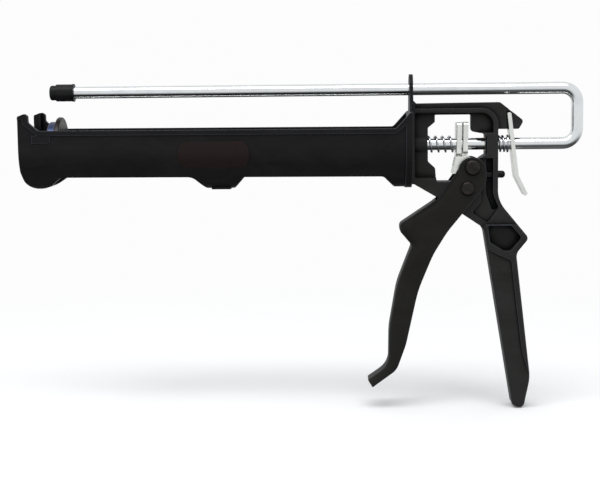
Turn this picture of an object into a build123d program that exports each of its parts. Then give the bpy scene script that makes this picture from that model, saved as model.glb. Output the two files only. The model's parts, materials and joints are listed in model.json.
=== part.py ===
from build123d import *
import os
from math import cos, radians, sin, tan

# Caulking gun for 310 ml cartridges, in millimetres. X runs from the nozzle end (-X) to the push
# rod's bend (+X), Z is up and Y is across. The origin is on the push rod's axis, on the face of
# the cradle's bulkhead that the cartridge sits against.

# Push rod: one bar bent into a U, with its lower leg on the X axis.
ROD_R = 4.0
ROD_LEG_GAP = 36.5
ROD_BEND_R = 9.5
ROD_BEND_X = 112.3
ROD_END_X = -236.0
ROD_SPIGOT_R = 3.0
ROD_SPIGOT_PROUD = 2.2

# Plunger and rod end cap.
PLUNGER_BACK_X = -230.6
PLUNGER_DISC_R = 20.3
PLUNGER_DISC_T = 3.4
PLUNGER_CUP_R = 17.3
PLUNGER_CUP_T = 5.4
PLUNGER_DISH_WALL = 4.0
PLUNGER_DISH_DEPTH = 1.6
RIVET_WASHER_R = 7.5
RIVET_WASHER_T = 1.6
CAP_BACK_X = -222.4
CAP_LENGTH = 16.3
CAP_R = 5.7
CAP_STEP = 0.75
CAP_STEP_LENGTH = 4.3
CAP_LIP = 0.25
CAP_LIP_LENGTH = 1.2

# Cradle: a U-shaped trough that takes a 50 mm cartridge. Its walls grow a little towards the bulkhead.
TROUGH_R = 28.0
TROUGH_WALL = 2.7
TROUGH_INNER_R = TROUGH_R - TROUGH_WALL
RIM_FRONT_Z = 12.0
RIM_BACK_Z = 11.4
RIM_DEPTH = 3.2
RIM_PROUD = 0.7
WALL_FOOT_FRONT_Z = -19.0
WALL_FOOT_BACK_Z = -20.2
NOSE_X = -255.2
NOSE_WALL = 4.4
NOSE_FLOOR_Z = -27.2
HORN_Z = 22.4
HORN_INNER_Y = 21.0
NOZZLE_SLOT_R = 11.0
BULKHEAD_T = 2.4
BULKHEAD_TOP_Z = 22.0
FLANGE_X = -2.2
EYELET_R = 10.0
EYELET_X = (1.0, 3.4)
EYELET_HOLE_R = 4.6
GUSSET_LEG = 2.8
GUSSET_Y = 2.0
FOOT_Z = -28.4
FOOT_PAD_X = (-130.6, -117.9)
FOOT_PAD_Y = 9.0
BADGE_X = (-150.4, -104.2)
BADGE_Z = (-13.0, 4.1)
BADGE_T = 0.6
BADGE_CORNER_R = 6.0

# Frame: a web with raised borders, from the bulkhead back to the grip.
WEB_Y = 3.2
BORDER_Y = 8.0
KNEE_FLOOR_Y = 6.4
ARM_Y = 5.0
GRIP_Y = 10.0
GRIP_FLOOR_Y = 8.8
PALM_ROUND = 3.2
FRAME_TOP_Z = 27.1
FRAME_TOP_RISE = 0.4
BEAD_TOP_Z = 23.7
BEAD_BOTTOM_Z = 20.6
BEAD_ROUND = 1.3
COLUMN_INNER_X = 52.2
COLUMN_BEAD_X = 56.2
COLUMN_OUTER_X = 59.6
GUIDE_BOSS_R = 5.8
FRONT_BOSS_X = 13.0
REAR_BOSS_X = 51.2
REAR_BOSS_Y = 6.6
REAR_BOSS_Z = (-9.2, 7.6)
GUIDE_BUSH_R = 4.9
GUIDE_BORE_R = ROD_R + 0.08

# Trigger linkage: the pivot is fixed, and the push pin is carried over it by the trigger.
PIVOT_X, PIVOT_Z = 39.1, -29.2
PIVOT_PIN_R = 2.5
PIVOT_BUSH_R = 4.0
PIVOT_HEAD_R = 4.7
HUB_R = 9.1
HUB_Y = 8.2
PUSH_X, PUSH_Z = 42.4, -15.4
PUSH_PIN_R = 2.0
PUSH_SLEEVE_R = 2.9
PUSH_HEAD_R = 5.2
FIT = 0.04
TRIGGER_Y = 11.4
TRIGGER_INNER_Y = 8.6
TRIGGER_ROUND = 5.0
LOBE_X, LOBE_Z = 42.2, -17.7
LOBE_R = 9.2
PIN_HEAD_T = 2.2
PIN_DOME = 1.4
PIN_CAP_T = 1.6
PIN_CAP_ROUND = 0.8
PIN_PEENED = 0.4

# Drive plates and the stirrup under them.
PLATE_T = 3.4
PLATE_Y = 8.0
PLATE_FRONT_X = 31.9
PLATE_PITCH = 4.3
FRONT_PLATE_Z = (-7.7, 14.3)
REAR_PLATE_Z = (-6.4, 14.6)
PLATE_LEAN = 1.2
PLATE_HOLE_R = ROD_R + 0.14
TONGUE_Y = 4.6
TONGUE_Z = -17.2
STIRRUP_Y = 7.6
STIRRUP_SHEET = 1.2
STIRRUP_EYE_R = 4.6
STIRRUP_TOP = (31.6, -8.3)
STIRRUP_TOE = (29.2, -19.6)
STIRRUP_WALL_Z = -15.0
STIRRUP_WALL_LEAN = 0.9

# Springs on the rod.
SPRING_R = 5.05
SPRING_WIRE_R = 0.72
DRIVE_SPRING_PITCH = 4.6
RELEASE_SPRING_PITCH = 2.5

# Release lever.
LEVER_Y = 7.0
LEVER_T = 2.6
LEVER_TOP = (66.8, 20.5)
LEVER_BEND = (71.9, -21.4)
LEVER_END = (78.2, -33.9)
LEVER_HOLE_R = ROD_R + 0.35
LEVER_FORK_Y = WEB_Y + 0.3
LEVER_FORK_Z = 9.0
LEVER_ROOM_X = (60.0, 75.0)
WASHER_X = (65.7, 66.8)
WASHER_R = 5.9
WASHER_HOLE_R = 4.5
STOP_PEG_R = 1.5
STOP_PEG_HEAD_R = 2.4
STOP_PEG_Z = -20.4
STOP_RIB_Y = 5.8
STOP_RIB_T = 2.6
STOP_PEG_TIP_X = 64.9

SCREW_R = 2.0
SCREW_Z = 17.5
SCREW_END_X = 15.0
SCREW_SOCKET_R = 1.4
SCREW_SOCKET_DEPTH = 1.6


def rounded_path(corners, closed=True):
    """Straight lines with rounded corners. Each corner is (x, z), or (x, z, radius)."""
    ends = []
    arcs = []
    for i, corner in enumerate(corners):
        here = Vector(*corner[:2])
        is_end = not closed and i in (0, len(corners) - 1)
        radius = 0 if is_end or len(corner) < 3 else corner[2]
        if radius:
            back = (Vector(*corners[i - 1][:2]) - here).normalized()
            ahead = (Vector(*corners[(i + 1) % len(corners)][:2]) - here).normalized()
            half_angle = radians(back.get_angle(ahead)) / 2
            reach = radius / tan(half_angle)
            middle = here + (back + ahead).normalized() * (radius / sin(half_angle) - radius)
            ends.append((here + back * reach, here + ahead * reach))
            arcs.append(ThreePointArc(here + back * reach, middle, here + ahead * reach))
        else:
            ends.append((here, here))
    first = 0 if closed else 1
    lines = [Line(ends[i - 1][1], ends[i][0]) for i in range(first, len(ends))]
    return lines + arcs


def standing(y):
    """The plane across Y in which the outlines' x and z are X and Z."""
    return Plane(origin=(0, y, 0), x_dir=(1, 0, 0), z_dir=(0, -1, 0))


def soften(part, corners, y, radius):
    """Round the edges of the part that follow an open path, on both its sides."""
    chosen = []
    for side in (-y, y):
        path = [standing(side) * piece for piece in rounded_path(corners, closed=False)]
        chosen += [
            edge
            for edge in part.edges()
            if min(piece.distance_to(edge @ 0.5) for piece in path) < 0.01
        ]
    return fillet(chosen, radius)


def slab(corners, y_from, y_to):
    """The outline in X and Z, solid from y_from to y_to."""
    face = standing(y_to) * make_face(rounded_path(corners))
    return extrude(face, amount=y_to - y_from)


def both_sides(corners, y_from, y_to):
    """The outline in X and Z, solid between two distances from the middle, left and right."""
    return slab(corners, y_from, y_to) + slab(corners, -y_to, -y_from)


def rod_x(radius, x_from, x_to, y=0.0, z=0.0):
    """A round bar along X."""
    start = Plane(origin=(x_from, y, z), z_dir=(1, 0, 0))
    return start * Cylinder(radius, x_to - x_from, align=(Align.CENTER, Align.CENTER, Align.MIN))


def rod_y(radius, y_from, y_to, x, z):
    """A round bar along Y."""
    start = Plane(origin=(x, y_from, z), z_dir=(0, 1, 0))
    return start * Cylinder(radius, y_to - y_from, align=(Align.CENTER, Align.CENTER, Align.MIN))


def block(x_from, x_to, y_from, y_to, z_from, z_to):
    """A box between two corners."""
    size = (x_to - x_from, y_to - y_from, z_to - z_from)
    return Pos((x_from + x_to) / 2, (y_from + y_to) / 2, (z_from + z_to) / 2) * Box(*size)


def trough(radius, x_from, x_to, top_z):
    """A U-shaped bar: half round below the axis, straight sides above it."""
    round_part = rod_x(radius, x_from, x_to)
    return round_part + block(x_from, x_to, -radius, radius, 0, top_z) - block(
        x_from, x_to, -radius, radius, top_z, radius + top_z
    )


def rim_z(x):
    return RIM_BACK_Z + (RIM_FRONT_Z - RIM_BACK_Z) * x / NOSE_X


def wall_foot_z(x):
    return WALL_FOOT_BACK_Z + (WALL_FOOT_FRONT_Z - WALL_FOOT_BACK_Z) * x / NOSE_X


def cradle_side():
    """The cradle's outline from the side, clockwise from the front of the horn."""
    back = BULKHEAD_T
    return [
        (NOSE_X, HORN_Z - 1, 1.2),
        (NOSE_X + 4.8, HORN_Z + 0.8, 1.5),
        (NOSE_X + 7.0, HORN_Z - 0.6, 1.2),
        (NOSE_X + 7.2, HORN_Z - 5.0, 1.5),
        (NOSE_X + 13.4, rim_z(NOSE_X), 2.5),
        (-8.6, rim_z(-8.6), 3.0),
        (back - 1.4, BULKHEAD_TOP_Z, 1.0),
        (back, BULKHEAD_TOP_Z),
        (back, FOOT_Z),
        (-8.6, FOOT_Z, 3.0),
        (-16.6, wall_foot_z(-16.6), 4.0),
        (-108.6, wall_foot_z(-108.6), 1.5),
        (-115.8, FOOT_Z, 4.0),
        (-133.4, FOOT_Z, 5.0),
        (-142.2, wall_foot_z(-142.2), 8.0),
        (-229.4, wall_foot_z(-229.4), 0.6),
        (-240.2, NOSE_FLOOR_Z, 16.0),
        (NOSE_X + 2.3, NOSE_FLOOR_Z, 8.0),
        (NOSE_X, -15.0, 10.0),
    ]


def rim_band():
    """The strip along the top edge of a side wall, from the horn to the bulkhead's ramp."""
    d = RIM_DEPTH
    back = BULKHEAD_T
    return [
        (NOSE_X - 1, HORN_Z + 3),
        (NOSE_X + 8.5, HORN_Z + 3),
        (NOSE_X + 20, RIM_FRONT_Z + 3),
        (-12, RIM_BACK_Z + 3),
        (back, BULKHEAD_TOP_Z + 3),
        (back, BULKHEAD_TOP_Z - 1.45 * d),
        (-7.4 - 0.3 * d, RIM_BACK_Z - d, 3.0),
        (NOSE_X + 12.6, RIM_FRONT_Z - d, 2.5),
        (NOSE_X + 3.4, HORN_Z - 6.0, 2.0),
        (NOSE_X + 3.0, HORN_Z - 2.6, 1.0),
        (NOSE_X - 1, HORN_Z - 3.2),
    ]


def eyelet_face():
    """The tab that carries the rod's upper leg, seen along X."""
    tab = make_face(
        Polyline(
            (-EYELET_R, ROD_LEG_GAP),
            (-EYELET_R - 4, BULKHEAD_TOP_Z - 6),
            (EYELET_R + 4, BULKHEAD_TOP_Z - 6),
            (EYELET_R, ROD_LEG_GAP),
            close=True,
        )
    )
    return tab + Pos(0, ROD_LEG_GAP) * Circle(EYELET_R)


def cradle():
    outer = trough(TROUGH_R, NOSE_X, BULKHEAD_T, HORN_Z + 2)
    inner = trough(TROUGH_INNER_R, NOSE_X + NOSE_WALL, 0, HORN_Z + 4)
    side = slab(cradle_side(), -TROUGH_R - 2, TROUGH_R + 2)
    shell = (outer - inner) & side

    proud = trough(TROUGH_R + RIM_PROUD, NOSE_X, BULKHEAD_T, HORN_Z + 2)
    rim = (proud - trough(TROUGH_INNER_R, NOSE_X, BULKHEAD_T, HORN_Z + 4)) & side
    rim = rim & slab(rim_band(), -TROUGH_R - 2, TROUGH_R + 2)
    shell = shell + rim

    # The proud strip turns down beside the bulkhead as a flange.
    flange = trough(TROUGH_R + RIM_PROUD, FLANGE_X, BULKHEAD_T, HORN_Z)
    shell = shell + ((flange - trough(TROUGH_INNER_R, FLANGE_X, 0, HORN_Z + 1)) & side)

    # Between the horns the end wall stops at the rim, with a slot down its middle for the nozzle.
    notch = HORN_INNER_Y
    shell = shell - block(NOSE_X - 1, NOSE_X + NOSE_WALL, -notch, notch, RIM_FRONT_Z, HORN_Z + 4)
    slot = rod_x(NOZZLE_SLOT_R, NOSE_X - 1, NOSE_X + NOSE_WALL + 0.5)
    slot = slot + block(
        NOSE_X - 1, NOSE_X + NOSE_WALL + 0.5, -NOZZLE_SLOT_R, NOZZLE_SLOT_R, 0, HORN_Z + 4
    )
    shell = shell - slot

    pad = [
        (NOSE_X + 9.0, 3.8),
        (NOSE_X + 21.5, 3.8, 2.5),
        (NOSE_X + 21.5, RIM_FRONT_Z - 3.0),
        (NOSE_X + 9.0, RIM_FRONT_Z - 3.0),
    ]
    shell = shell + both_sides(pad, TROUGH_R - 1, TROUGH_R + 0.5)

    # A flat pad under the middle foot, where the gun stands on a bench.
    shell = shell + block(*FOOT_PAD_X, -FOOT_PAD_Y, FOOT_PAD_Y, FOOT_Z, -TROUGH_INNER_R - 0.6)

    eyelet = extrude(Plane.YZ.offset(EYELET_X[0]) * eyelet_face(), amount=EYELET_X[1] - EYELET_X[0])
    eyelet = eyelet - block(BULKHEAD_T, EYELET_X[1] + 1, -TROUGH_R, TROUGH_R, 0, FRAME_TOP_Z + 0.1)
    shell = shell + eyelet
    shell = shell - rod_x(EYELET_HOLE_R, -1, 4, z=ROD_LEG_GAP)
    shell = shell - rod_x(EYELET_HOLE_R, -1, 4)
    for z in (-SCREW_Z, SCREW_Z):
        shell = shell - rod_x(SCREW_R, -1, 4, z=z) - screw_head(z)
    return shell


def screw_head(z):
    """A countersunk head with its face at the bulkhead's face."""
    cone = Cone(2 * SCREW_R, SCREW_R, SCREW_R, align=(Align.CENTER, Align.CENTER, Align.MIN))
    return Plane(origin=(0, 0, z), z_dir=(1, 0, 0)) * cone


def cradle_screws():
    screws = []
    for z in (-SCREW_Z, SCREW_Z):
        screw = screw_head(z) + rod_x(SCREW_R, 0, SCREW_END_X, z=z)
        socket = extrude(RegularPolygon(SCREW_SOCKET_R, 6), SCREW_SOCKET_DEPTH)
        socket = Plane(origin=(0, 0, z), z_dir=(1, 0, 0)) * socket
        screws.append(screw - socket)
    return Compound(children=screws)


def badge_plate():
    """A blank plate on the near side wall, following the trough."""
    (x_from, x_to), (z_from, z_to) = BADGE_X, BADGE_Z
    corners = [(x_from, z_to), (x_to, z_to), (x_to, z_from), (x_from, z_from)]
    outline = [(*corner, BADGE_CORNER_R) for corner in corners]
    ends = (x_from - 5, x_to + 5)
    shell = trough(TROUGH_R + BADGE_T, *ends, z_to + 3) - trough(TROUGH_R, *ends, z_to + 4)
    return shell & slab(outline, -TROUGH_R - 2, 0)


def frame_side():
    """The frame's outline from the side, clockwise from the top of the bulkhead joint."""
    return [
        (BULKHEAD_T, FRAME_TOP_Z),
        (60.9, FRAME_TOP_Z + FRAME_TOP_RISE, 1.0),
        (76.5, 15.2, 2.2),
        (73.4, 9.8, 1.6),
        (COLUMN_OUTER_X, 9.8),
        (COLUMN_OUTER_X, -37.6, 20.0),
        (80.3, -62.8, 3.2),
        (71.9, -73.0, 7.0),
        (81.6, -157.0, 30.0),
        (77.2, -178.0, 3.3),
        (69.8, -176.0, 3.2),
        (50.1, -55.7, 8.0),
        (18.5, -34.7),
        (3.9, -26.2, 1.0),
        (BULKHEAD_T, -26.2),
    ]


def window_outline():
    """The opening that the drive plates and the stirrup move in."""
    return [
        (18.0, 19.5, 0.6),
        (41.8, 19.5, 0.8),
        (41.9, 8.3, 2.6),
        (COLUMN_INNER_X, 6.6, 3.5),
        (COLUMN_INNER_X, -6.4, 1.5),
        (46.7, -9.8, 0.5),
        (48.2, -13.0),
        (48.2, -24.6, 1.0),
        (18.9, -24.6, 1.0),
        (18.2, -15.7, 2.5),
        (13.4, -11.3, 2.0),
        (13.4, 10.9, 0.6),
        (18.0, 14.8, 0.6),
    ]


def upper_pocket():
    """Inside the bead, from the bulkhead to the column."""
    return [
        (4.6, BEAD_BOTTOM_Z, 0.8),
        (COLUMN_BEAD_X, BEAD_BOTTOM_Z, 8.0),
        (COLUMN_BEAD_X, REAR_BOSS_Z[1], 0.5),
        (30.0, REAR_BOSS_Z[1]),
        (30.0, -22.1),
        (4.6, -22.1, 0.8),
    ]


def knee_pocket():
    """Beside the pivot, from the rear boss down to the rib over the hump."""
    return [
        (44.0, REAR_BOSS_Z[0]),
        (COLUMN_BEAD_X, REAR_BOSS_Z[0], 0.5),
        (COLUMN_BEAD_X, -33.0, 10.0),
        (60.0, -42.2, 2.5),
        (52.6, -52.3, 1.2),
        (42.2, -45.4, 1.5),
        (48.3, -38.2, 3.0),
        (48.3, -29.0),
        (44.0, -23.0),
    ]


def knee_well():
    """The deeper part of the knee pocket, along the column's bead."""
    return [
        (51.6, REAR_BOSS_Z[0]),
        (COLUMN_BEAD_X, REAR_BOSS_Z[0], 0.5),
        (COLUMN_BEAD_X, -33.0, 10.0),
        (59.6, -41.4, 2.0),
        (56.2, -46.0, 2.0),
        (51.6, -33.0, 8.0),
    ]


def hump_pocket():
    return [
        (52.6, -54.0, 1.5),
        (68.3, -54.0, 2.5),
        (75.3, -62.2, 2.5),
        (67.8, -71.0, 3.5),
        (63.6, -71.0, 2.0),
        (54.2, -65.0, 1.5),
    ]


def grip_panel():
    """The flat side of the grip, from the rib down, with a bead left behind it."""
    return [
        (44.0, -66.4),
        (68.2, -77.4, 3.0),
        (71.6, -106.2, 80.0),
        (75.6, -138.6, 60.0),
        (85.0, -168.0),
        (85.0, -182.0),
        (44.0, -182.0),
    ]


def lower_frame_cut():
    """Everything above the grip, where the frame is narrower."""
    return [
        (0, 40),
        (90, 40),
        (90, -53.2),
        (51.0, -53.2, 1.0),
        (46.0, -58.0),
        (0, -58.0),
    ]


def lever_slot():
    """Leans with the release lever, with room in front of it for its swing."""
    return [(65.5, 7), (70.0, 7), (68.4, 24), (67.4, 24), (65.0, 21.4, 0.6)]


def arm_outline():
    """The strip above the bead and the arm behind the column."""
    return [
        (4.6, 40),
        (90, 40),
        (90, 0),
        (COLUMN_OUTER_X, 0),
        (COLUMN_OUTER_X, BEAD_TOP_Z, 11.0),
        (4.6, BEAD_TOP_Z),
    ]


def bead_edge(z, x, radius):
    """One long edge of the bead, along the top and round the corner."""
    return [(4.6, z), (x, z, radius), (x, z - radius)]


def frame():
    side = slab(frame_side(), -GRIP_Y, GRIP_Y)
    body = soften(side, frame_side()[4:13], GRIP_Y, PALM_ROUND)
    body = body - both_sides(lower_frame_cut(), BORDER_Y, GRIP_Y + 1)
    body = body - both_sides(arm_outline(), ARM_Y, GRIP_Y + 1)
    for pocket in (upper_pocket(), hump_pocket(), knee_well()):
        body = body - both_sides(pocket, WEB_Y, GRIP_Y + 1)
    body = body - both_sides(knee_pocket(), KNEE_FLOOR_Y, GRIP_Y + 1)
    body = body - both_sides(grip_panel(), GRIP_FLOOR_Y, GRIP_Y + 1)
    body = soften(body, bead_edge(BEAD_BOTTOM_Z, COLUMN_BEAD_X, 8.0), BORDER_Y, BEAD_ROUND)
    body = body - slab(window_outline(), -GRIP_Y, GRIP_Y)

    # Bosses for the rod's guides, the pivot and the stop peg.
    body = body + rod_x(GUIDE_BOSS_R, BULKHEAD_T + 1, FRONT_BOSS_X)
    body = body + block(REAR_BOSS_X, COLUMN_BEAD_X + 1, -REAR_BOSS_Y, REAR_BOSS_Y, *REAR_BOSS_Z)
    body = body + rod_y(HUB_R, -HUB_Y, HUB_Y, PIVOT_X, PIVOT_Z)
    body = body + block(
        REAR_BOSS_X,
        COLUMN_BEAD_X + 1,
        -STOP_RIB_Y,
        STOP_RIB_Y,
        STOP_PEG_Z - STOP_RIB_T / 2,
        STOP_PEG_Z + STOP_RIB_T / 2,
    )

    body = body - rod_x(GUIDE_BUSH_R, 0, FRONT_BOSS_X + 1)
    body = body - rod_x(GUIDE_BUSH_R, REAR_BOSS_X - 1, COLUMN_OUTER_X + 1)
    body = body - rod_y(PIVOT_BUSH_R, -GRIP_Y, GRIP_Y, PIVOT_X, PIVOT_Z)
    body = body - rod_x(STOP_PEG_R, REAR_BOSS_X, COLUMN_OUTER_X + 1, z=STOP_PEG_Z)
    for z in (-SCREW_Z, SCREW_Z):
        body = body - rod_x(SCREW_R, 0, SCREW_END_X, z=z)
    body = body - both_sides(lever_slot(), WEB_Y, GRIP_Y)

    # A small web braces the eyelet against the frame's top edge.
    low, front = FRAME_TOP_Z - 0.5, EYELET_X[1] + 0.1
    gusset = [(front, low), (front + GUSSET_LEG, low), (front, low + GUSSET_LEG)]
    return body + slab(gusset, -GUSSET_Y, GUSSET_Y)


def guide_bush(x_from, x_to):
    return rod_x(GUIDE_BUSH_R, x_from, x_to) - rod_x(GUIDE_BORE_R, x_from - 1, x_to + 1)


def pivot_bush():
    bush = rod_y(PIVOT_BUSH_R, -HUB_Y - 0.2, HUB_Y + 0.2, PIVOT_X, PIVOT_Z)
    return bush - rod_y(PIVOT_PIN_R + FIT, -GRIP_Y, GRIP_Y, PIVOT_X, PIVOT_Z)


def stop_peg():
    """A rubber buffer pushed through the column, which the release lever stops against."""
    head = rod_x(STOP_PEG_HEAD_R, COLUMN_OUTER_X, STOP_PEG_TIP_X, z=STOP_PEG_Z)
    head = fillet(head.edges().sort_by(Axis.X)[-1], 2.0)
    return head + rod_x(STOP_PEG_R, REAR_BOSS_X, COLUMN_OUTER_X, z=STOP_PEG_Z)


def push_rod():
    path = FilletPolyline(
        (ROD_END_X, 0, ROD_LEG_GAP),
        (ROD_BEND_X, 0, ROD_LEG_GAP),
        (ROD_BEND_X, 0, 0),
        (PLUNGER_BACK_X, 0, 0),
        radius=ROD_BEND_R,
    )
    start = Plane(origin=path @ 0, z_dir=path % 0)
    bar = sweep(start * Circle(ROD_R), path=path)
    spigot_end = PLUNGER_BACK_X - PLUNGER_DISC_T - PLUNGER_CUP_T - ROD_SPIGOT_PROUD
    return bar + rod_x(ROD_SPIGOT_R, spigot_end, PLUNGER_BACK_X + 2)


def rod_end_cap():
    back = CAP_BACK_X
    front = back - CAP_LENGTH
    cap = rod_x(CAP_R, front + CAP_STEP_LENGTH, back) + rod_x(CAP_R - CAP_STEP, front, back)
    cap = cap + rod_x(CAP_R + CAP_LIP, back - CAP_LIP_LENGTH, back)
    cap = fillet(cap.edges().group_by(Axis.X)[0], 1.4)
    return cap - rod_x(ROD_R, ROD_END_X, back + 1)


def plunger_disc():
    front = PLUNGER_BACK_X - PLUNGER_DISC_T
    disc = rod_x(PLUNGER_DISC_R, front, PLUNGER_BACK_X)
    disc = fillet(disc.edges().filter_by(GeomType.CIRCLE), 1.0)
    return disc - rod_x(ROD_SPIGOT_R, front - 1, PLUNGER_BACK_X + 1)


def plunger_cup():
    back = PLUNGER_BACK_X - PLUNGER_DISC_T
    front = back - PLUNGER_CUP_T
    cup = rod_x(PLUNGER_CUP_R, front, back)
    cup = fillet(cup.edges().group_by(Axis.X)[0], 1.2)
    cup = cup - rod_x(PLUNGER_CUP_R - PLUNGER_DISH_WALL, front - 1, front + PLUNGER_DISH_DEPTH)
    return cup - rod_x(ROD_SPIGOT_R, front - 1, back + 1)


def plunger_rivet_washer():
    front = PLUNGER_BACK_X - PLUNGER_DISC_T - PLUNGER_CUP_T
    washer = rod_x(RIVET_WASHER_R, front, front + RIVET_WASHER_T)
    return washer - rod_x(ROD_SPIGOT_R, front - 1, front + 3)


def drive_plate(x_front, bottom_z, top_z):
    """A plate with a hole for the rod and a tongue that reaches down into the stirrup."""
    back = x_front + PLATE_T
    plate = block(x_front, back, -PLATE_Y, PLATE_Y, bottom_z, top_z)
    plate = fillet(plate.edges().filter_by(Axis.X), 2.0)
    plate = chamfer(plate.edges().group_by(Axis.X)[0], 0.35)
    plate = plate + block(x_front, back, -TONGUE_Y, TONGUE_Y, TONGUE_Z, bottom_z + 1)
    plate = plate - rod_x(PLATE_HOLE_R, x_front - 1, back + 1)
    middle = (x_front + PLATE_T / 2, 0, 0)
    return plate.rotate(Axis(middle, (0, 1, 0)), PLATE_LEAN)


def stirrup_side():
    """One cheek of the stirrup; the eye is added to it as a circle."""
    top = STIRRUP_TOP[1]
    return [
        (*STIRRUP_TOP, 0.5),
        (PLATE_FRONT_X + PLATE_T, top, 2.0),
        (PUSH_X - 3.0, top + 0.9, 1.0),
        (PUSH_X + 3.6, PUSH_Z + 4.0, 2.0),
        (PUSH_X + 3.6, PUSH_Z - 3.0, 2.0),
        (*STIRRUP_TOE, 0.5),
    ]


def stirrup():
    """A U of sheet steel: two cheeks on the push pin, and a low wall in front of the tongues."""
    inner = STIRRUP_Y - 2 * STIRRUP_SHEET
    body = slab(stirrup_side(), -STIRRUP_Y, STIRRUP_Y)
    hollow = [
        (20, 0),
        (60, 0),
        (60, -30),
        (STIRRUP_TOE[0] + STIRRUP_SHEET - 1.5, -30),
        (STIRRUP_TOE[0] + STIRRUP_SHEET, STIRRUP_TOE[1]),
        (STIRRUP_TOE[0] + STIRRUP_WALL_LEAN + STIRRUP_SHEET, STIRRUP_WALL_Z),
        (20, STIRRUP_WALL_Z),
    ]
    body = body - slab(hollow, -inner, inner)
    for y in (-STIRRUP_Y, inner):
        body = body + rod_y(STIRRUP_EYE_R, y, y + 2 * STIRRUP_SHEET, PUSH_X, PUSH_Z)
    return body - rod_y(PUSH_PIN_R + FIT, -20, 20, PUSH_X, PUSH_Z)


def trigger_front():
    """The edge that the fingers pull, from the lobe down to the tip."""
    return [
        (LOBE_X, LOBE_Z + LOBE_R),
        (36.9, LOBE_Z + LOBE_R, 6.0),
        (29.9, -20.6, 30.0),
        (18.3, -36.9, 20.0),
        (-5.8, -52.9, 3.6),
        (-5.3, -57.8, 4.0),
        (2.4, -66.9, 3.6),
        (-7.6, -92.5, 60.0),
        (-13.0, -123.0, 60.0),
        (-13.4, -148.5, 14.0),
        (-27.2, -158.2),
    ]


def trigger_back():
    """The edge towards the grip, from the tip up to the lobe."""
    return [
        (-24.2, -162.5),
        (-8.0, -150.7, 12.0),
        (-1.8, -133.7, 40.0),
        (6.4, -96.8, 80.0),
        (16.3, -73.0, 60.0),
        (25.8, -57.7, 60.0),
        (51.5, -26.6, 12.0),
        (LOBE_X + LOBE_R, LOBE_Z),
    ]


def trigger_hollow():
    """The channel between the cheeks, open towards the grip and over the frame's strut."""
    return [
        (5.0, 5.0),
        (70.0, 5.0),
        (70.0, -60.0),
        (14.0, -130.0),
        (-3.5, -149.5),
        (-10.4, -142.5, 3.0),
        (-10.0, -126.0, 50.0),
        (-4.8, -93.5, 50.0),
        (5.4, -66.8, 5.0),
        (-1.2, -55.4, 1.5),
        (19.8, -38.4),
        (15.0, -32.2),
        (5.0, -26.0),
    ]


def trigger():
    body = slab(trigger_front() + trigger_back(), -TRIGGER_Y, TRIGGER_Y)
    body = soften(body, trigger_front(), TRIGGER_Y, TRIGGER_ROUND)
    body = body + rod_y(LOBE_R, -TRIGGER_Y, TRIGGER_Y, LOBE_X, LOBE_Z)
    body = body - slab(trigger_hollow(), -TRIGGER_INNER_Y, TRIGGER_INNER_Y)
    body = body - rod_y(PIVOT_PIN_R + FIT, -20, 20, PIVOT_X, PIVOT_Z)
    return body - rod_y(PUSH_PIN_R + FIT, -20, 20, PUSH_X, PUSH_Z)


def headed_pin(shank_r, head_r, x, z):
    """A pin with a domed head outside the near cheek and a peened end outside the far cap."""
    head = rod_y(head_r, -TRIGGER_Y - PIN_HEAD_T, -TRIGGER_Y, x, z)
    head = fillet(head.edges().group_by(Axis.Y)[0], PIN_DOME)
    return head + rod_y(shank_r, -TRIGGER_Y - 1, TRIGGER_Y + PIN_CAP_T + PIN_PEENED, x, z)


def pin_cap(shank_r, head_r, x, z):
    cap = rod_y(head_r, TRIGGER_Y, TRIGGER_Y + PIN_CAP_T, x, z)
    cap = fillet(cap.edges().group_by(Axis.Y)[-1], PIN_CAP_ROUND)
    return cap - rod_y(shank_r, 0, 20, x, z)


def push_sleeve():
    length = STIRRUP_Y - 2 * STIRRUP_SHEET - 0.2
    sleeve = rod_y(PUSH_SLEEVE_R, -length, length, PUSH_X, PUSH_Z)
    return sleeve - rod_y(PUSH_PIN_R + FIT, -20, 20, PUSH_X, PUSH_Z)


def spring(x_from, x_to, pitch):
    """A coil of round wire on the rod, between two faces."""
    r = SPRING_WIRE_R
    height = x_to - x_from - 2 * r
    start = Plane(origin=(x_from + r, 0, 0), z_dir=(1, 0, 0))
    path = start * Helix(pitch=pitch, height=height, radius=SPRING_R)
    section = Plane(origin=path @ 0, z_dir=path % 0) * Circle(r)
    return sweep(section, path=path, is_frenet=True)


def lever_side():
    """The release lever's outline from the side, a strip with one bend."""
    half = LEVER_T / 2
    (tx, tz), (bx, bz), (ex, ez) = LEVER_TOP, LEVER_BEND, LEVER_END
    lean = (bx - tx) / (tz - bz)
    kick = (ex - bx) / (bz - ez)
    corner = half * (1 + kick**2) ** 0.5 - half * kick
    foot = (half * cos(radians(36)), half * sin(radians(36)))
    return [
        (tx + half, tz, 0.6),
        (bx + half, bz + corner * 0.5, 5.0),
        (ex + foot[0], ez + foot[1], 0.9),
        (ex - foot[0], ez - foot[1], 0.9),
        (bx - half - lean * 0.2, bz - corner * 0.5, 7.0),
        (tx - half, tz, 0.6),
    ]


def release_lever():
    body = slab(lever_side(), -LEVER_Y, LEVER_Y)
    body = body - block(*LEVER_ROOM_X, -LEVER_FORK_Y, LEVER_FORK_Y, LEVER_FORK_Z, LEVER_TOP[1] + 1)
    return body - rod_x(LEVER_HOLE_R, *LEVER_ROOM_X)


def release_washer():
    return rod_x(WASHER_R, *WASHER_X) - rod_x(WASHER_HOLE_R, *LEVER_ROOM_X)


def write(name, part):
    export_step(part, os.path.join("parts", name + ".step"))


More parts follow.
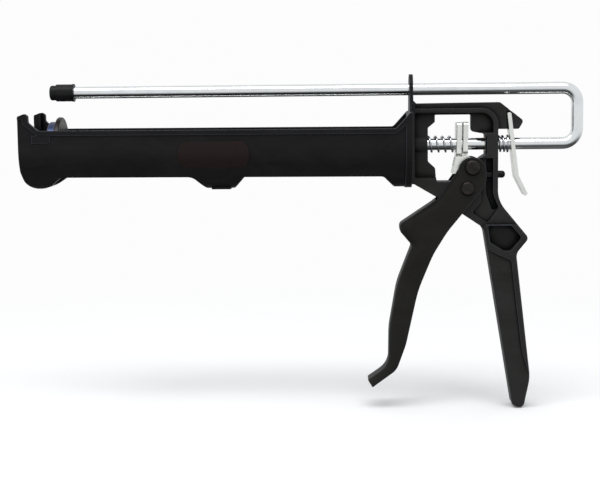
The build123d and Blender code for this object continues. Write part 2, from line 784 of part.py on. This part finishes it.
def main():
    os.makedirs("parts", exist_ok=True)
    write("cradle", cradle())
    write("cradle_screws", cradle_screws())
    write("badge_plate", badge_plate())
    write("frame", frame())
    write("front_guide_bush", guide_bush(BULKHEAD_T, FRONT_BOSS_X))
    write("rear_guide_bush", guide_bush(REAR_BOSS_X, COLUMN_OUTER_X))
    write("pivot_bush", pivot_bush())
    write("stop_peg", stop_peg())

    write("push_rod", push_rod())
    write("rod_end_cap", Pos(0, 0, ROD_LEG_GAP) * rod_end_cap())
    write("plunger_disc", plunger_disc())
    write("plunger_cup", plunger_cup())
    write("plunger_rivet_washer", plunger_rivet_washer())

    write("front_drive_plate", drive_plate(PLATE_FRONT_X, *FRONT_PLATE_Z))
    write("rear_drive_plate", drive_plate(PLATE_FRONT_X + PLATE_PITCH, *REAR_PLATE_Z))
    write("drive_spring", spring(FRONT_BOSS_X + 0.2, PLATE_FRONT_X - 0.1, DRIVE_SPRING_PITCH))

    write("stirrup", stirrup())
    write("trigger", trigger())
    write("pivot_pin", headed_pin(PIVOT_PIN_R, PIVOT_HEAD_R, PIVOT_X, PIVOT_Z))
    write("pivot_pin_cap", pin_cap(PIVOT_PIN_R, PIVOT_HEAD_R, PIVOT_X, PIVOT_Z))
    write("push_pin", headed_pin(PUSH_PIN_R, PUSH_HEAD_R, PUSH_X, PUSH_Z))
    write("push_pin_cap", pin_cap(PUSH_PIN_R, PUSH_HEAD_R - 0.5, PUSH_X, PUSH_Z))
    write("push_sleeve", push_sleeve())

    write("release_lever", release_lever())
    write("release_washer", release_washer())
    write("release_spring", spring(COLUMN_OUTER_X + 0.1, WASHER_X[0] - 0.1, RELEASE_SPRING_PITCH))


main()
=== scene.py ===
import json
import math

import bmesh
import bpy
from mathutils import Matrix, Vector

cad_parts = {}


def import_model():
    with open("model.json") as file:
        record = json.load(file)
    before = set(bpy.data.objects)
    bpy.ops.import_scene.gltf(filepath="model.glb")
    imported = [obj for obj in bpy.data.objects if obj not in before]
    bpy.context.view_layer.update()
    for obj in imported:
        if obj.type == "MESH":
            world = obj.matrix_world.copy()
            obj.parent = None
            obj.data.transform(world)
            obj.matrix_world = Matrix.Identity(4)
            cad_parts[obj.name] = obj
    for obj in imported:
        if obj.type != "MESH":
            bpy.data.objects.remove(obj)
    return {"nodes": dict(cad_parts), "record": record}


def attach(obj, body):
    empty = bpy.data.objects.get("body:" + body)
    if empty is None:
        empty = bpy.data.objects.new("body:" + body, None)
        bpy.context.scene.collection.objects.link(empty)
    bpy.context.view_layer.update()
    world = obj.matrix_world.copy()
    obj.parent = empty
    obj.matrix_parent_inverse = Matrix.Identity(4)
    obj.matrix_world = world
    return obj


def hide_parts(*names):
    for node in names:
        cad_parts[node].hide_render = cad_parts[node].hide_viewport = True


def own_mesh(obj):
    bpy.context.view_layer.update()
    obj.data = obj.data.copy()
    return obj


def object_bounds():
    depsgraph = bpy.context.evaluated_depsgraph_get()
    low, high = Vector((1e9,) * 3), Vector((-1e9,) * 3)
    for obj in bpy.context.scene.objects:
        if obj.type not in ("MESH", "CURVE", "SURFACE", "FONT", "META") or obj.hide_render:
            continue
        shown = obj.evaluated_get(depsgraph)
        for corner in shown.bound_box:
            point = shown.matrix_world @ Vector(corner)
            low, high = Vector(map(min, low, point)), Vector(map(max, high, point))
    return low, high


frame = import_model()
nodes = frame["nodes"]
cad_low, cad_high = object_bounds()

MM = 0.001
SHARP_ANGLE = math.radians(30)

# Studio: the camera stands almost square to the gun's side, a little above it.
CAMERA_AT = (-0.04345, -0.922, 0.0367)
CAMERA_LENS_MM = 82.6
CAMERA_TURN, CAMERA_TILT, CAMERA_ROLL = (math.radians(a) for a in (1.8, 90.0 - 6.21, -0.60))
PAPER = (0.98, 0.98, 0.98)
FLOOR_RADIUS = 3.0
FLOOR_CENTRE_X = -0.07
FLOOR_GAP = 0.0004
FLOOR_FADE = (0.12, 0.6)
BACKDROP_RADIUS = 6.0
SOFTBOX_AT = (-0.2, -0.55, 1.3)
SOFTBOX_SIZE = (1.6, 0.7)
SOFTBOX_WATTS = 14.0
SKY_STRENGTH = 0.8
SKY_TINT = (0.965, 0.985, 1.0)
# How bright the sky is, from straight down (0) over the horizon (0.5) to straight up (1).
SKY_STOPS = (
    (0.0, 0.16),
    (0.08, 0.08),
    (0.17, 0.08),
    (0.25, 0.34),
    (0.33, 0.74),
    (0.42, 0.97),
    (1.0, 1.0),
)


# ---------------------------------------------------------------- material tools


def set_stops(node, stops):
    """Fill a colour ramp. Each stop is its place and a colour, or its place and a grey."""
    elements = node.color_ramp.elements
    while len(elements) < len(stops):
        elements.new(0.5)
    for element, (at, colour) in zip(elements, stops):
        element.position = at
        if not isinstance(colour, tuple):
            colour = (colour, colour, colour)
        element.color = (*colour, 1)


class Shader:
    """A node material with a Principled shader, and short calls for the nodes that feed it."""

    def __init__(self, name, **values):
        self.material = bpy.data.materials.new(name)
        self.material.use_nodes = True
        self.tree = self.material.node_tree
        self.tree.nodes.clear()
        self.out = self.node("ShaderNodeOutputMaterial")
        self.main = self.node("ShaderNodeBsdfPrincipled")
        self.link(self.main.outputs[0], self.out.inputs["Surface"])
        self.place = self.node("ShaderNodeTexCoord").outputs["Object"]
        self.normal = None
        for key, value in values.items():
            self.set(key.replace("_", " ").title().replace("Ior", "IOR"), value)

    def node(self, kind):
        return self.tree.nodes.new(kind)

    def link(self, source, target):
        self.tree.links.new(source, target)

    def set(self, key, value):
        socket = self.main.inputs[key]
        if isinstance(value, bpy.types.NodeSocket):
            self.link(value, socket)
        else:
            socket.default_value = (*value, 1) if isinstance(value, tuple) else value

    def stretched(self, scale):
        mapping = self.node("ShaderNodeMapping")
        mapping.inputs["Scale"].default_value = scale
        self.link(self.place, mapping.inputs["Vector"])
        return mapping.outputs[0]

    def noise(self, scale, detail=3.0, rough=0.5, at=None, distortion=0.0):
        node = self.node("ShaderNodeTexNoise")
        node.inputs["Scale"].default_value = scale
        node.inputs["Detail"].default_value = detail
        node.inputs["Roughness"].default_value = rough
        node.inputs["Distortion"].default_value = distortion
        self.link(at or self.place, node.inputs["Vector"])
        return node.outputs["Fac"]

    def cells(self, scale):
        node = self.node("ShaderNodeTexVoronoi")
        node.inputs["Scale"].default_value = scale
        self.link(self.place, node.inputs["Vector"])
        return node.outputs["Distance"]

    def ramp(self, source, *stops):
        node = self.node("ShaderNodeValToRGB")
        set_stops(node, stops)
        self.link(source, node.inputs["Fac"])
        return node.outputs["Color"]

    def halved(self, source):
        node = self.node("ShaderNodeMath")
        node.operation = "MULTIPLY"
        node.inputs[1].default_value = 0.5
        self.link(source, node.inputs[0])
        return node.outputs[0]

    def mix(self, factor, a, b, mode="MIX"):
        node = self.node("ShaderNodeMix")
        node.data_type = "RGBA"
        node.blend_type = mode
        first, second = (socket for socket in node.inputs if socket.type == "RGBA")
        for socket, value in ((node.inputs["Factor"], factor), (first, a), (second, b)):
            if isinstance(value, bpy.types.NodeSocket):
                self.link(value, socket)
            elif isinstance(value, tuple):
                socket.default_value = (*value, 1)
            else:
                socket.default_value = value
        return next(socket for socket in node.outputs if socket.type == "RGBA")

    def bump(self, height, distance_mm):
        node = self.node("ShaderNodeBump")
        node.inputs["Distance"].default_value = distance_mm * MM
        self.link(height, node.inputs["Height"])
        if self.normal is not None:
            self.link(self.normal, node.inputs["Normal"])
        self.normal = node.outputs[0]
        self.set("Normal", self.normal)

    def rounded(self, radius_mm):
        """Shade sharp edges as if they had this radius."""
        node = self.node("ShaderNodeBevel")
        node.samples = 6
        node.inputs["Radius"].default_value = radius_mm * MM
        self.normal = node.outputs[0]
        self.set("Normal", self.normal)

    def creases(self, reach_mm, outer=False):
        """Ambient occlusion: 1 on open faces, lower in grooves and corners, or lower on outer edges
        and thin walls. The materials paint shade and highlights into their colour with it.
        """
        node = self.node("ShaderNodeAmbientOcclusion")
        node.samples = 8
        node.only_local = True
        node.inside = outer
        node.inputs["Distance"].default_value = reach_mm * MM
        return node.outputs["AO"]


# edge is the colour of the painted highlight on outer edges and thin walls.
def black_plastic(
    name, low, high, roughness, edge=(0.040, 0.043, 0.054), grain=0.012, soft=0.5, deep=4.0
):
    """Moulded black nylon: a fine grain and faint flow marks, with painted shade darkening its
    creases and a painted highlight in the edge colour on its outer edges, which are also smoother.
    The grain is its depth in mm, soft is the edges' radius and deep the reach of the painted crease
    shade."""
    rough_low, rough_high = roughness
    s = Shader(name, specular_ior_level=0.09)
    s.rounded(soft)
    # Painted shade: the colour is darkened to black in creases and corners.
    painted_crease_shade = s.ramp(s.creases(deep), (0.5, 0.0), (0.9, 1.0))
    # Painted highlight: outer edges and thin walls are paled to the edge colour; the same mask also
    # lowers their roughness.
    edge_highlight_and_polish = s.ramp(s.creases(0.8, outer=True), (0.5, 1.0), (0.85, 0.0))
    flow = s.noise(45.0, 6.0, 0.72, s.stretched((0.5, 1.0, 1.0)), 0.6)
    fine = s.noise(900.0, 2.0, 0.6)
    tone = s.mix(edge_highlight_and_polish, s.ramp(flow, (0.32, low), (0.7, high)), edge)
    s.set("Base Color", s.mix(1.0, tone, painted_crease_shade, "MULTIPLY"))
    smear = s.noise(55.0, 5.0, 0.65)
    rough = s.ramp(smear, (0.25, rough_low), (0.75, rough_high))
    polished = rough_low * 0.75
    s.set("Roughness", s.mix(edge_highlight_and_polish, rough, (polished, polished, polished)))
    s.bump(s.noise(1800.0, 3.0, 0.7), grain)
    s.bump(s.halved(fine), grain * 2)
    return s.material


def zinc(name, low, high, roughness, drawn=None):
    """Zinc plate: a faint spangle, with fine lines where drawn gives their stretch."""
    rough_low, rough_high = roughness
    s = Shader(name, metallic=1.0)
    s.rounded(0.3)
    cloud = s.noise(140.0, 4.0, 0.6)
    s.set("Base Color", s.ramp(cloud, (0.3, low), (0.72, high)))
    spots = s.noise(420.0, 3.0, 0.6)
    s.set("Roughness", s.ramp(spots, (0.28, rough_low), (0.72, rough_high)))
    if drawn:
        s.bump(s.noise(60.0, 3.0, 0.6, s.stretched(drawn)), 0.012)
    s.bump(s.noise(1500.0, 2.0, 0.6), 0.006)
    return s.material


def rubber(name, colour, rough):
    """Soft black vinyl, matt in patches, with painted shade darkening its grooves."""
    s = Shader(name, specular_ior_level=0.15)
    s.rounded(0.3)
    tone = s.ramp(s.noise(90.0, 4.0), (0.3, colour), (0.75, tuple(c * 1.7 for c in colour)))
    # Painted shade: the colour is darkened in grooves and corners.
    painted_crease_shade = s.ramp(s.creases(3.0), (0.5, 0.1), (0.95, 1.0))
    s.set("Base Color", s.mix(1.0, tone, painted_crease_shade, "MULTIPLY"))
    s.set("Roughness", s.ramp(s.noise(260.0, 3.0), (0.3, rough - 0.08), (0.7, rough + 0.08)))
    s.bump(s.noise(1300.0, 2.0, 0.7), 0.02)
    return s.material


def bronze(name):
    """Sintered bronze, porous and unpolished."""
    s = Shader(name, metallic=1.0)
    pores = s.noise(700.0, 4.0)
    s.set("Base Color", s.ramp(pores, (0.3, (0.20, 0.13, 0.06)), (0.7, (0.42, 0.29, 0.14))))
    s.set("Roughness", s.ramp(s.noise(900.0, 3.0), (0.3, 0.35), (0.7, 0.55)))
    s.bump(s.cells(2500.0), 0.01)
    return s.material


MATERIALS = {
    "black_moulding": black_plastic(
        "cradle_nylon",
        low=(0.0068, 0.0062, 0.0061),
        high=(0.0116, 0.0112, 0.0124),
        roughness=(0.38, 0.52),
    ),
    "black_handle": black_plastic(
        "handle_nylon",
        low=(0.0150, 0.0147, 0.0136),
        high=(0.0240, 0.0237, 0.0234),
        roughness=(0.42, 0.56),
        soft=1.1,
        deep=5.0,
    ),
    "black_trigger": black_plastic(
        "trigger_nylon",
        low=(0.0098, 0.0090, 0.0080),
        high=(0.0150, 0.0144, 0.0136),
        roughness=(0.42, 0.55),
        soft=0.8,
    ),
    "badge_film": black_plastic(
        "badge_film",
        low=(0.0068, 0.0060, 0.0062),
        high=(0.0090, 0.0080, 0.0082),
        roughness=(0.24, 0.32),
        edge=(0.015, 0.0095, 0.009),
        grain=0.003,
    ),
    "bright_zinc": zinc(
        "bar_zinc", (0.84, 0.86, 0.865), (0.95, 0.965, 0.97), (0.10, 0.20), drawn=(0.15, 22.0, 22.0)
    ),
    "zinc_stamping": zinc(
        "stamped_zinc", (0.84, 0.84, 0.80), (0.97, 0.97, 0.93), (0.28, 0.46), drawn=(1.0, 1.0, 8.0)
    ),
    "spring_steel": zinc("spring_zinc", (0.50, 0.51, 0.54), (0.72, 0.73, 0.75), (0.18, 0.32)),
    "blued_zinc": zinc("blue_zinc", (0.030, 0.042, 0.095), (0.085, 0.105, 0.19), (0.25, 0.42)),
    "dark_steel": zinc("black_oxide", (0.020, 0.018, 0.017), (0.050, 0.044, 0.042), (0.32, 0.50)),
    "sintered_bronze": bronze("sintered_bronze"),
    "black_vinyl": rubber("vinyl", (0.006, 0.006, 0.0065), 0.40),
}

record_slots = {p["node"]: p["material_slot"] for p in frame["record"]["subparts"]}
for name, obj in nodes.items():
    obj.data.materials.clear()
    obj.data.materials.append(MATERIALS[record_slots[name]])
    for polygon in obj.data.polygons:
        polygon.use_smooth = True
    smooth = obj.modifiers.new("smooth_by_angle", "EDGE_SPLIT")
    smooth.split_angle = SHARP_ANGLE


# ---------------------------------------------------------------- springs


def add(name, mesh):
    obj = bpy.data.objects.new(name, mesh)
    bpy.context.scene.collection.objects.link(obj)
    return obj


def closing_coil(name, node):
    """A copy of the CAD spring's coil in its place, with its sharp edges split, on the gun body,
    and the CAD spring hidden.
    """
    mesh = nodes[node].data.copy()
    bm = bmesh.new()
    bm.from_mesh(mesh)
    sharp = [edge for edge in bm.edges if edge.is_manifold and edge.calc_face_angle() > SHARP_ANGLE]
    bmesh.ops.split_edges(bm, edges=sharp)
    bm.to_mesh(mesh)
    bm.free()
    coil = add(name, mesh)
    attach(coil, "gun_body")
    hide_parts(node)
    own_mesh(coil)


closing_coil("drive_coil", "drive_spring")
closing_coil("release_coil", "release_spring")


# ---------------------------------------------------------------- studio


def glow(s, colour):
    node = s.node("ShaderNodeEmission")
    node.inputs["Color"].default_value = (*colour, 1)
    return node.outputs[0]


def seen_only(obj):
    """The camera sees it and bright metal doesn't mirror it."""
    obj.visible_glossy = False


def floor():
    """A pale round floor under the gun, which runs out into the backdrop's own tone."""
    mesh = bpy.data.meshes.new("floor")
    bm = bmesh.new()
    bmesh.ops.create_circle(bm, cap_ends=True, segments=96, radius=FLOOR_RADIUS)
    bm.to_mesh(mesh)
    obj = add("floor", mesh)
    obj.location = (FLOOR_CENTRE_X, 0.0, cad_low.z - FLOOR_GAP)
    s = Shader("pale_floor", specular_ior_level=0.0, roughness=1.0)
    s.set("Base Color", s.ramp(s.noise(8.0), (0.3, 0.90), (0.7, 0.92)))
    far = s.node("ShaderNodeVectorMath")
    far.operation = "LENGTH"
    s.link(s.place, far.inputs[0])
    fade = s.ramp(far.outputs["Value"], (FLOOR_FADE[0], 0.0), (FLOOR_FADE[1], 1.0))
    both = s.node("ShaderNodeMixShader")
    s.link(fade, both.inputs[0])
    s.link(s.main.outputs[0], both.inputs[1])
    s.link(glow(s, PAPER), both.inputs[2])
    s.link(both.outputs[0], s.out.inputs["Surface"])
    mesh.materials.append(s.material)
    seen_only(obj)


def backdrop():
    """A pale shell all round, seen by the camera and by nothing else."""
    mesh = bpy.data.meshes.new("backdrop")
    bm = bmesh.new()
    bmesh.ops.create_icosphere(bm, subdivisions=4, radius=BACKDROP_RADIUS)
    bm.to_mesh(mesh)
    obj = add("backdrop", mesh)
    s = Shader("pale_backdrop")
    s.link(glow(s, PAPER), s.out.inputs["Surface"])
    mesh.materials.append(s.material)
    obj.visible_diffuse = False
    obj.visible_shadow = False
    obj.visible_transmission = False
    seen_only(obj)


def top_softbox():
    """One wide area light above and in front, aimed at the gun."""
    lamp = bpy.data.lights.new("top_softbox", "AREA")
    lamp.shape = "RECTANGLE"
    lamp.size, lamp.size_y = SOFTBOX_SIZE
    lamp.energy = SOFTBOX_WATTS
    obj = add("top_softbox", lamp)
    obj.location = SOFTBOX_AT
    aim = Vector((FLOOR_CENTRE_X, 0.0, 0.0)) - Vector(SOFTBOX_AT)
    obj.rotation_euler = aim.to_track_quat("-Z", "Y").to_euler()


def world():
    """Soft light from above that falls away below the horizon."""
    made = bpy.data.worlds.new("studio")
    made.use_nodes = True
    tree = made.node_tree
    background = tree.nodes["Background"]
    place = tree.nodes.new("ShaderNodeTexCoord").outputs["Generated"]
    split = tree.nodes.new("ShaderNodeSeparateXYZ")
    tree.links.new(place, split.inputs[0])
    height = tree.nodes.new("ShaderNodeMapRange")
    height.inputs["From Min"].default_value = -1.0
    tree.links.new(split.outputs["Z"], height.inputs["Value"])
    ramp = tree.nodes.new("ShaderNodeValToRGB")
    set_stops(ramp, [(at, tuple(value * tint for tint in SKY_TINT)) for at, value in SKY_STOPS])
    tree.links.new(height.outputs[0], ramp.inputs["Fac"])
    tree.links.new(ramp.outputs["Color"], background.inputs["Color"])
    background.inputs["Strength"].default_value = SKY_STRENGTH
    bpy.context.scene.world = made


def camera():
    data = bpy.data.cameras.new("camera")
    data.lens = CAMERA_LENS_MM
    data.clip_end = 50.0
    obj = add("camera", data)
    turn = Matrix.Rotation(CAMERA_TURN, 4, "Z")
    tilt = Matrix.Rotation(CAMERA_TILT, 4, "X")
    roll = Matrix.Rotation(CAMERA_ROLL, 4, "Z")
    obj.matrix_world = Matrix.Translation(CAMERA_AT) @ turn @ tilt @ roll
    bpy.context.scene.camera = obj


floor()
backdrop()
world()
camera()
top_softbox()
bpy.context.scene.view_settings.view_transform = "Standard"
